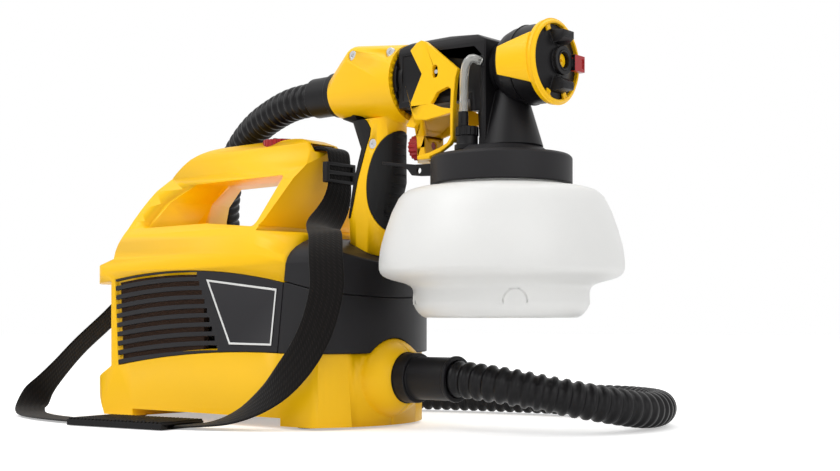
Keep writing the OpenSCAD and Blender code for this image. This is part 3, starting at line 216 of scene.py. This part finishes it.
def spline(points, steps):
    """A smooth curve through points: the Catmull-Rom cubic, with the ends repeated."""
    p = np.array(points, float)
    p = np.vstack([p[:1], p, p[-1:]])
    t = (np.arange(steps) / steps)[None, :, None]
    a, b, c, d = (p[k:len(p) - 3 + k, None] for k in range(4))
    curve = 0.5 * (2 * b + (c - a) * t + (2 * a - 5 * b + 4 * c - d) * t ** 2
                   + (3 * b - a - 3 * c + d) * t ** 3)
    return np.vstack([curve.reshape(-1, p.shape[1]), p[-1:]])


def run_length(curve):
    """Distance run along a curve at each of its points."""
    return np.append(0, np.cumsum(np.linalg.norm(np.diff(curve, axis=0), axis=1)))


def evenly(curve, values, count):
    """Values given along a curve, at a count of even distances along it."""
    run = run_length(curve)
    at = np.linspace(0, run[-1], count)
    return np.stack([np.interp(at, run, column) for column in values.T], 1)


def headings(curve):
    """Unit direction of a curve at each of its points."""
    step = np.gradient(curve, axis=0)
    return step / np.linalg.norm(step, axis=1)[:, None]


def sweep(curve, side, across, up):
    """A closed outline carried along a curve: point + across x side + up x (heading x side).

    side is a direction at each point, made square to the heading, and across and up are arrays of
    stations by outline points. Both ends are closed by rings that shrink to the curve.
    """
    heading = headings(curve)
    side = side - (side * heading).sum(1)[:, None] * heading
    side /= np.linalg.norm(side, axis=1)[:, None]
    over = np.cross(heading, side)
    rings = curve[:, None] + across[..., None] * side[:, None] + up[..., None] * over[:, None]
    cap = np.broadcast_to(curve[:, None], rings.shape)
    return np.concatenate([cap[:1], rings, cap[-1:]])


def carried(curve, start):
    """A side direction carried along a curve without twisting, from a start direction."""
    heading = headings(curve)
    sides = [np.array(start, float)]
    for step in heading[1:]:
        side = sides[-1] - (sides[-1] @ step) * step
        sides.append(side / np.linalg.norm(side))
    return np.array(sides)


def closed(mesh):
    """The mesh with its doubled points merged and its faces turned outwards."""
    work = bmesh.new()
    work.from_mesh(mesh)
    bmesh.ops.remove_doubles(work, verts=work.verts, dist=1e-6)
    bmesh.ops.recalc_face_normals(work, faces=work.faces)
    work.to_mesh(mesh)
    work.free()
    mesh.shade_smooth()
    return mesh


def piece(name, mesh, material, body, slot, *stands_for):
    """An object for a mesh that rides on a body, has a finish and stands for some CAD nodes.

    A piece that bends between two bodies is given no body here.
    """
    made = bpy.data.objects.new(name, mesh)
    bpy.context.scene.collection.objects.link(made)
    mesh.materials.clear()
    mesh.materials.append(material)
    if body:
        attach(made, body)
    if stands_for:
        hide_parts(*stands_for)
    return made


# depth of the grain that a mould or a cutter leaves, drawn coarser than it is so that it shows
GRAIN_RELIEF = 0.0001


def plastic(name, code, roughness, grain_mm=0.6, bump=0.12, mottle=0.06, specular=0.2):
    """Moulded plastic: nearly one colour, a slightly mottled gloss and the mould's fine grain."""
    made, tree, shader = new_material(name)
    where = add(tree, "ShaderNodeTexCoord").outputs["Object"]
    fine = add(tree, "ShaderNodeTexNoise", {"Scale": 1 / (grain_mm * MM), "Detail": 2.0},
               {"Vector": where})
    broad = add(tree, "ShaderNodeTexNoise", {"Scale": 16.0, "Detail": 4.0}, {"Vector": where})
    gloss = add(tree, "ShaderNodeMapRange",
                {"To Min": roughness - 0.05, "To Max": roughness + 0.07},
                {"Value": broad.outputs[0]})
    shade = add(tree, "ShaderNodeMapRange", {"To Min": 1 - mottle, "To Max": 1 + mottle / 2},
                {"Value": broad.outputs[0]})
    tint = add(tree, "ShaderNodeHueSaturation", {"Color": linear(code)},
               {"Value": shade.outputs[0]})
    bumps = add(tree, "ShaderNodeBump", {"Strength": bump, "Distance": GRAIN_RELIEF},
                {"Height": fine.outputs[0]})
    tree.links.new(tint.outputs[0], shader.inputs["Base Color"])
    tree.links.new(gloss.outputs[0], shader.inputs["Roughness"])
    tree.links.new(bumps.outputs[0], shader.inputs["Normal"])
    shader.inputs["Specular IOR Level"].default_value = specular
    return made


# polyethylene, blow moulded: a low waxy gloss that lights each rib along its crest
hose_material = plastic("hose_blow_moulded_polyethylene", "0F0E10", 0.34, 1.2, 0.1)
hose_line = spline(HOSE_ROUTE, 8)
hose_centre = spots(evenly(hose_line, hose_line, HOSE_RINGS))
hose_run = run_length(hose_centre) / MM
# rounded crests, and narrower grooves with a flat floor between them
rib_wave = np.cos(2 * np.pi * hose_run / RIB_PITCH)
hose_radius = (HOSE_D / 2 - RIB_DEPTH * np.clip(0.5 - 0.75 * rib_wave, 0, 1)) * MM
ring = np.linspace(0, 2 * np.pi, HOSE_SIDES, endpoint=False)
hose_mesh = closed(grid_mesh("air_hose", sweep(
    hose_centre, carried(hose_centre, [0, 1, 0]), hose_radius[:, None] * np.cos(ring),
    hose_radius[:, None] * np.sin(ring)), wrap_v=True))
air_hose = piece("air_hose", hose_mesh, hose_material, None, "hose_plastic", "hose")
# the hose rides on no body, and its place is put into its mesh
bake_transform(air_hose)


# shells whose long seam faces stay as facets, because one joined face round a hole would close it
SEAMED = ("housing_front", "housing_rear", "gun_shell_left", "gun_shell_right", "trigger",
          "air_cap")
MERGE_REACH = 2e-6
FLAT_TURN = np.radians(0.5)


def moulded(node, material, edge_mm=0.5, turn=32.0):
    """A copy of a CAD node for its finish: doubles merged, flat facets joined, edges rounded.

    The copy rides on the node's body and stands for it.
    than the given degrees is sharp, and gets a round of edge_mm unless that is 0.
    """
    mesh = nodes[node].data.copy()
    mesh.name = node + "_finished"
    work = bmesh.new()
    work.from_mesh(mesh)
    bmesh.ops.remove_doubles(work, verts=work.verts, dist=MERGE_REACH)
    if node not in SEAMED:
        bmesh.ops.dissolve_limit(work, angle_limit=FLAT_TURN, verts=work.verts, edges=work.edges)
    work.to_mesh(mesh)
    work.free()
    mesh.shade_smooth()
    mesh.set_sharp_from_angle(angle=np.radians(turn))
    made = piece(mesh.name, mesh, material, node_body[node], node_slot[node], node)
    if edge_mm:
        rounding = made.modifiers.new("edge", "BEVEL")
        rounding.width = edge_mm * MM
        rounding.segments = 2
        rounding.limit_method = "ANGLE"
        rounding.angle_limit = np.radians(turn)
        rounding.use_clamp_overlap = False
    return made


# ABS, injection moulded and spark eroded: a fine satin that breaks the highlights up a little
black_abs = plastic("black_satin_abs", "121113", 0.42)
for cuff in ("hose_cuff_port", "hose_cuff_gun"):
    moulded(cuff, black_abs, 0.6)

# ---------------------------------------------------------------- carrying strap
# Black polypropylene webbing, 25 mm wide, sewn round a bar in the handle and another in the tail.
# It hangs over the dock, runs along the floor under a ribbed rubber shoulder pad and climbs to the
# tail. A moulded slide buckle sets its length.
STRAP_W, STRAP_T = 25.0, 1.6
STRAP_RINGS, STRAP_SIDES = 420, 20
STRAP_ROUTE = [
    [60, 0, 217.2], [71, 0, 217.2], [79, 0, 214], [81, 0, 206], [81, 0, 194], [81, 0, 183],
    [81, -4, 171], [83, -14, 160], [90, -28, 153], [104, -42, 149], [118, -54, 143],
    [129, -65, 128], [134, -69, 105], [131, -72, 84], [123, -75, 64], [109, -79, 44],
    [90, -85, 25], [66, -94, 10], [40, -103.5, 2.5], [14, -113, 1], [-30, -119, 1],
    [-79, -125, 1], [-130, -121, 1], [-170, -110, 1], [-191, -101, 3], [-203, -91, 9],
    [-203, -79, 23], [-198, -66, 39], [-190, -50, 59], [-179, -31, 80], [-167, -14, 101],
    [-155, -0.4, 116.5], [-144, 0, 120]]
# the way that the strap's outer face looks at each point of the route
STRAP_FACE = [
    [0, 0, 1], [0, 0, 1], [0.7, 0, 0.7], [1, 0, 0], [1, 0, 0], [1, -0.1, 0], [0.97, -0.25, 0.05],
    [0.9, -0.3, 0.3], [0.7, -0.35, 0.6], [0.5, -0.4, 0.8], [0.55, -0.6, 0.6], [0.64, -0.75, 0.2],
    [0.65, -0.76, 0], [0.62, -0.78, 0], [0.55, -0.82, 0.05], [0.45, -0.85, 0.2], [0.3, -0.7, 0.6],
    [0.15, -0.4, 0.9], [0, -0.08, 1], [0, 0, 1], [0, 0, 1], [0, 0, 1], [0, 0, 1], [0, 0, 1],
    [0.1, 0, 1], [0.6, -0.3, 0.7], [0.9, 0, -0.2], [0.87, 0.15, -0.42], [0.85, 0.19, -0.49],
    [0.85, 0.19, -0.49], [0.8, 0.1, -0.6], [0.5, 0, -0.85], [0.3, 0, -1]]


def strip_uv(mesh, curve, side):
    """Gives a swept strip a UV map in metres.

    U is the run length of the nearest point of the curve, and V is the distance from that point
    along the strip's side direction there.
    """
    run = run_length(curve)
    flat = mesh.uv_layers.new(name="weave")
    corner = np.empty(len(mesh.loops), np.int32)
    mesh.loops.foreach_get("vertex_index", corner)
    place = np.empty(len(mesh.vertices) * 3, np.float32)
    mesh.vertices.foreach_get("co", place)
    place = place.reshape(-1, 3)
    near = np.array([np.argmin(((curve - p) ** 2).sum(1)) for p in place])
    offset = ((place - curve[near]) * side[near]).sum(1)
    flat.data.foreach_set("uv", np.stack([run[near], offset], 1)[corner].ravel())


# a wave texture of this scale, over a width in millimetres, has bands of that width
WAVE_SCALE = 314.16


def woven(name, code, thread_mm, roughness):
    """Woven webbing: a twill crossed by ribs, drawn about twice as coarse as it is to show."""
    made, tree, shader = new_material(name)
    where = add(tree, "ShaderNodeUVMap", {"uv_map": "weave"}).outputs[0]
    turn = add(tree, "ShaderNodeMapping", {"Rotation": (0, 0, np.radians(45))}, {"Vector": where})
    twill = add(tree, "ShaderNodeTexWave",
                {"Scale": WAVE_SCALE / thread_mm, "bands_direction": "X"},
                {"Vector": turn.outputs[0]})
    ribs = add(tree, "ShaderNodeTexWave",
               {"Scale": WAVE_SCALE / (2 * thread_mm), "bands_direction": "Y"}, {"Vector": where})
    height = add(tree, "ShaderNodeMath", {"operation": "MULTIPLY"},
                 {0: twill.outputs["Fac"], 1: ribs.outputs["Fac"]})
    # painted light: the colour is lighter on the raised threads and darker between them, as a
    # painted highlight and painted shade
    shade = add(tree, "ShaderNodeMapRange", {"To Min": 0.55, "To Max": 1.5},
                {"Value": height.outputs[0]})
    tint = add(tree, "ShaderNodeHueSaturation", {"Color": linear(code)},
               {"Value": shade.outputs[0]})
    bumps = add(tree, "ShaderNodeBump", {"Strength": 0.5, "Distance": 0.0004},
                {"Height": height.outputs[0]})
    tree.links.new(tint.outputs[0], shader.inputs["Base Color"])
    tree.links.new(bumps.outputs[0], shader.inputs["Normal"])
    shader.inputs["Roughness"].default_value = roughness
    shader.inputs["Sheen Weight"].default_value = 0.12
    shader.inputs["Specular IOR Level"].default_value = 0.1
    return made


# polypropylene yarn: dull and dark brown-black, with a painted highlight on the raised threads and
# painted shade between them
webbing = woven("woven_polypropylene_webbing", "120F0E", 2.0, 0.75)
strap_line = spline(np.hstack([STRAP_ROUTE, STRAP_FACE]), 12)
strap_line = evenly(strap_line[:, :3], strap_line, STRAP_RINGS)
strap_centre = spots(strap_line[:, :3] + [0, 0, STRAP_T / 2])
strap_side = np.cross(strap_line[:, 3:], headings(strap_centre))
strap_side /= np.linalg.norm(strap_side, axis=1)[:, None]
# its section is a flat oval: cosine and sine of the angle, each raised to a power below one
ACROSS_POWER, UP_POWER = 0.35, 0.5
edge = np.linspace(0, 2 * np.pi, STRAP_SIDES, endpoint=False)
outline_across = np.sign(np.cos(edge)) * np.abs(np.cos(edge)) ** ACROSS_POWER * STRAP_W / 2
outline_up = np.sign(np.sin(edge)) * np.abs(np.sin(edge)) ** UP_POWER * STRAP_T / 2
strap_mesh = closed(grid_mesh("strap_webbing", sweep(
    strap_centre, strap_side, np.tile(outline_across * MM, (STRAP_RINGS, 1)),
    np.tile(outline_up * MM, (STRAP_RINGS, 1))), wrap_v=True))
strip_uv(strap_mesh, strap_centre, strap_side)
piece("strap_webbing", strap_mesh, webbing, "case", "webbing", "strap")

# vulcanised rubber: matt, dark, with a dry bloom
pad_rubber = plastic("ribbed_shoulder_pad_rubber", "111012", 0.62, 0.8, 0.2)
moulded("strap_pad", pad_rubber, 0.3)
moulded("strap_buckle", black_abs, 0.6)

# ---------------------------------------------------------------- case housing
# Two yellow ABS shells, moulded with the carrying handle in one piece with the roof and screwed
# together along the middle. They stand on rubber feet, and a rubber gland takes the power cord.

# ABS with a fine satin from the mould, saturated warm yellow
SHELL_TURN = 34
yellow_abs = plastic("yellow_satin_abs", "FFC600", 0.38, 0.5, 0.1, 0.05, 0.3)
for shell in ("housing_front", "housing_rear"):
    moulded(shell, yellow_abs, 0, SHELL_TURN)
# rubber: matt, nearly black
foot_rubber = plastic("foot_and_gland_rubber", "141415", 0.7, 0.8, 0.2)
moulded("rubber_feet", foot_rubber, 0.4)
moulded("cord_gland", foot_rubber, 0.4)


def metal(name, code, roughness, grain_mm=1.0, bump=0.05):
    """Bare or plated metal: its colour, full metallic, and short fine machining marks."""
    made, tree, shader = new_material(name)
    where = add(tree, "ShaderNodeTexCoord").outputs["Object"]
    marks = add(tree, "ShaderNodeTexNoise", {"Scale": 1 / (grain_mm * MM), "Detail": 3.0},
                {"Vector": where})
    gloss = add(tree, "ShaderNodeMapRange",
                {"To Min": roughness - 0.06, "To Max": roughness + 0.1},
                {"Value": marks.outputs[0]})
    bumps = add(tree, "ShaderNodeBump", {"Strength": bump, "Distance": GRAIN_RELIEF},
                {"Height": marks.outputs[0]})
    tree.links.new(gloss.outputs[0], shader.inputs["Roughness"])
    tree.links.new(bumps.outputs[0], shader.inputs["Normal"])
    shader.inputs["Base Color"].default_value = linear(code)
    shader.inputs["Metallic"].default_value = 1.0
    return made


# zinc plated steel screws: bright, slightly blue
zinc = metal("zinc_plated_steel", "C9CACC", 0.28)
moulded("housing_screws", zinc, 0.15)

# ---------------------------------------------------------------- intake panels and nameplate
# Black ABS panels with curved slots: the front one slides off for the filter behind it, which is
# brown open cell foam, and the back one is fixed. The front one carries a bare grey plate with a
# raised border in silver paint.

# ABS with a fine satin, a shade lighter than black
panel_abs = plastic("panel_charcoal_abs", "1D1C1F", 0.46)
moulded("filter_cover", panel_abs, 0.45)
moulded("rear_grille", panel_abs, 0.45)

# reticulated polyurethane: an open, matt, brown sponge with cells a millimetre across, its colour
# darkened towards the middle of each cell as painted shade in the pores
foam, foam_tree, foam_shader = new_material("open_cell_polyurethane_foam")
foam_at = add(foam_tree, "ShaderNodeTexCoord").outputs["Object"]
cells = add(foam_tree, "ShaderNodeTexVoronoi", {"Scale": 800.0}, {"Vector": foam_at})
# painted shade: the colour is darker towards the middle of each cell, where the pores are
pore_shade_tone = add(foam_tree, "ShaderNodeMapRange", {"From Max": 0.7, "To Min": 0.35, "To Max": 1.2},
                {"Value": cells.outputs["Distance"]})
foam_tint = add(foam_tree, "ShaderNodeHueSaturation", {"Color": linear("3A2416")},
                {"Value": pore_shade_tone.outputs[0]})
foam_bump = add(foam_tree, "ShaderNodeBump", {"Strength": 0.8, "Distance": 0.0006},
                {"Height": cells.outputs["Distance"]})
foam_tree.links.new(foam_tint.outputs[0], foam_shader.inputs["Base Color"])
foam_tree.links.new(foam_bump.outputs[0], foam_shader.inputs["Normal"])
foam_shader.inputs["Roughness"].default_value = 0.95
moulded("filter_foam", foam, 0)

# acrylic lacquer on ABS: smooth dark grey field, bright silver rim
plate_gray = plastic("nameplate_gray_lacquer", "28272A", 0.3, 0.8, 0.05)
plate_rim = metal("silver_lacquer_rim", "D4D4D2", 0.3)
plate = moulded("nameplate", plate_gray, 0.15)
plate.data.materials.append(plate_rim)
# the raised border is what stands in front of the plate's field
RIM_FACE = -64.05 * MM
for face in plate.data.polygons:
    face.material_index = int(face.center.y < RIM_FACE)

# ---------------------------------------------------------------- gun dock and hose port
# A black ABS body and cover in front of the handle hold the foot of the gun's grip, and the socket
# in the nose of the case, at the end of a duct from the turbine, takes the hose.

# ABS with a fine satin, charcoal
dock_abs = plastic("dock_charcoal_abs", "19181B", 0.42)
for part in ("dock_body", "dock_cover"):
    moulded(part, dock_abs, 0.9)
moulded("hose_socket", black_abs, 0.5)
moulded("air_duct", black_abs, 0)

# ---------------------------------------------------------------- turbine
# A universal motor with two pressed aluminium fan stages in a spun casing, behind the panels. The
# steel shaft carries both stages.

# baked enamel on the can: smooth, dark and even
motor_paint = plastic("motor_can_enamel", "2C2D30", 0.4)
# aluminium sheet from the press: light, with a soft sheen
aluminium = metal("pressed_aluminium", "C6C8CA", 0.34)
# steel off the lathe: brighter and sharper than the sheet
steel = metal("turned_steel", "BBBCBE", 0.24)
for part, finish in (("motor", motor_paint), ("rotor_shaft", steel), ("fan_stage_1", aluminium),
                     ("fan_stage_2", aluminium), ("fan_casing", aluminium)):
    moulded(part, finish, 0)

# ---------------------------------------------------------------- power dial
# A red ribbed dial with a black cap sets the air power. It is sunk in the top of the handle, where
# a thumb reaches it.

# ABS from a polished mould: dark red, with a clear gloss
red_abs = plastic("red_gloss_abs", "A01218", 0.28, 0.8, 0.06, 0.06, 0.4)
moulded("power_dial", red_abs, 0.35)
moulded("dial_cap", black_abs, 0.35)

# ---------------------------------------------------------------- gun grip
# The grip is two yellow shells held by three screws, with a black soft pad moulded over the front
# and a saddle over the web of the hand. A black coupling locks the spray head on.

# thermoplastic rubber over the shell: black, dull and slightly rough to the hand
soft_grip = plastic("overmoulded_thermoplastic_rubber", "121213", 0.6, 0.9, 0.25)
for shell in ("gun_shell_left", "gun_shell_right"):
    moulded(shell, yellow_abs, 0, SHELL_TURN)
moulded("grip_pad", soft_grip, 0.8)
moulded("saddle_pad", soft_grip, 0)
moulded("gun_coupling", black_abs, 0.5)
moulded("coupling_seal", foot_rubber, 0)
moulded("gun_screws", zinc, 0.15)

# ---------------------------------------------------------------- spray head, trigger and needle
# The black head carries the air barrel, the yellow trigger swings on a steel pin across it and
# draws the steel needle back, and the red knob on the trigger's shank limits the stroke.
moulded("head_body", black_abs, 0.7)
moulded("air_barrel", black_abs, 0.6)
moulded("trigger", yellow_abs, 0.5)
moulded("trigger_pin", steel, 0.2)
moulded("needle", steel, 0)
moulded("needle_spring", steel, 0)
moulded("flow_knob", red_abs, 0.35)

# ---------------------------------------------------------------- nozzle, air cap and width lever
# A yellow cap ring holds the black air cap with its two horns over the fluid nozzle, and a red
# lever turns the pattern's width.
moulded("fluid_nozzle", yellow_abs, 0.2)
moulded("air_cap", black_abs, 0.5)
moulded("cap_ring", yellow_abs, 0.6)
lever = moulded("width_lever", red_abs, 0.4)
lever.data.materials.append(black_abs)
# its tab is red and the ring that turns round the nozzle is black
LEVER_HUB = 0.0105
AXIS_HEIGHT = 0.259
for face in lever.data.polygons:
    face.material_index = int(np.hypot(face.center.y, face.center.z - AXIS_HEIGHT) < LEVER_HUB)

# vinyl tube: clear, smooth, with two bright lines where it bends the light
clear_vinyl, clear_tree, clear_shader = new_material("clear_flexible_vinyl")
clear_at = add(clear_tree, "ShaderNodeTexCoord").outputs["Object"]
clear_noise = add(clear_tree, "ShaderNodeTexNoise", {"Scale": 300.0}, {"Vector": clear_at})
clear_bump = add(clear_tree, "ShaderNodeBump", {"Strength": 0.05, "Distance": 0.0002},
                 {"Height": clear_noise.outputs[0]})
clear_tree.links.new(clear_bump.outputs[0], clear_shader.inputs["Normal"])
clear_shader.inputs["Base Color"].default_value = linear("F3F3F0")
clear_shader.inputs["Roughness"].default_value = 0.08
clear_shader.inputs["Transmission Weight"].default_value = 0.85
clear_shader.inputs["IOR"].default_value = 1.45
moulded("vent_tube", clear_vinyl, 0)
moulded("valve_housing", black_abs, 0.4)
moulded("valve_cap", black_abs, 0.4)

# ---------------------------------------------------------------- lid, hook and cup
# The black lid ring screws down on a milky polypropylene cup with a stepped foot. The lid has a
# small hook bracket at the back, and a steel pickup tube goes down through it.

# ABS, charcoal, the mattest of the mouldings
lid_abs = plastic("lid_charcoal_abs", "222123", 0.5)
moulded("lid_ring", lid_abs, 0.7)
moulded("hook_bracket", black_abs, 0.3)
moulded("lid_seal", foot_rubber, 0)
moulded("pickup_tube", steel, 0)

# natural polypropylene, blow moulded: milky, light spreads inside the wall, a waxy satin gloss
WALL_SPREAD = 0.006
milky, milky_tree, milky_shader = new_material("natural_blow_moulded_polypropylene")
milky_at = add(milky_tree, "ShaderNodeTexCoord").outputs["Object"]
cloud = add(milky_tree, "ShaderNodeTexNoise", {"Scale": 22.0, "Detail": 3.0}, {"Vector": milky_at})
skin = add(milky_tree, "ShaderNodeTexNoise", {"Scale": 900.0}, {"Vector": milky_at})
cloud_tone = add(milky_tree, "ShaderNodeMapRange", {"To Min": 0.96, "To Max": 1.02},
                 {"Value": cloud.outputs[0]})
milky_tint = add(milky_tree, "ShaderNodeHueSaturation", {"Color": linear("F6F6F4")},
                 {"Value": cloud_tone.outputs[0]})
milky_bump = add(milky_tree, "ShaderNodeBump", {"Strength": 0.05, "Distance": 0.0002},
                 {"Height": skin.outputs[0]})
milky_tree.links.new(milky_tint.outputs[0], milky_shader.inputs["Base Color"])
milky_tree.links.new(milky_bump.outputs[0], milky_shader.inputs["Normal"])
milky_shader.inputs["Roughness"].default_value = 0.38
milky_shader.inputs["Transmission Weight"].default_value = 0.22
milky_shader.inputs["IOR"].default_value = 1.49
milky_shader.inputs["Subsurface Weight"].default_value = 0.25
milky_shader.inputs["Subsurface Radius"].default_value = (WALL_SPREAD,) * 3
moulded("cup", milky, 0.8)
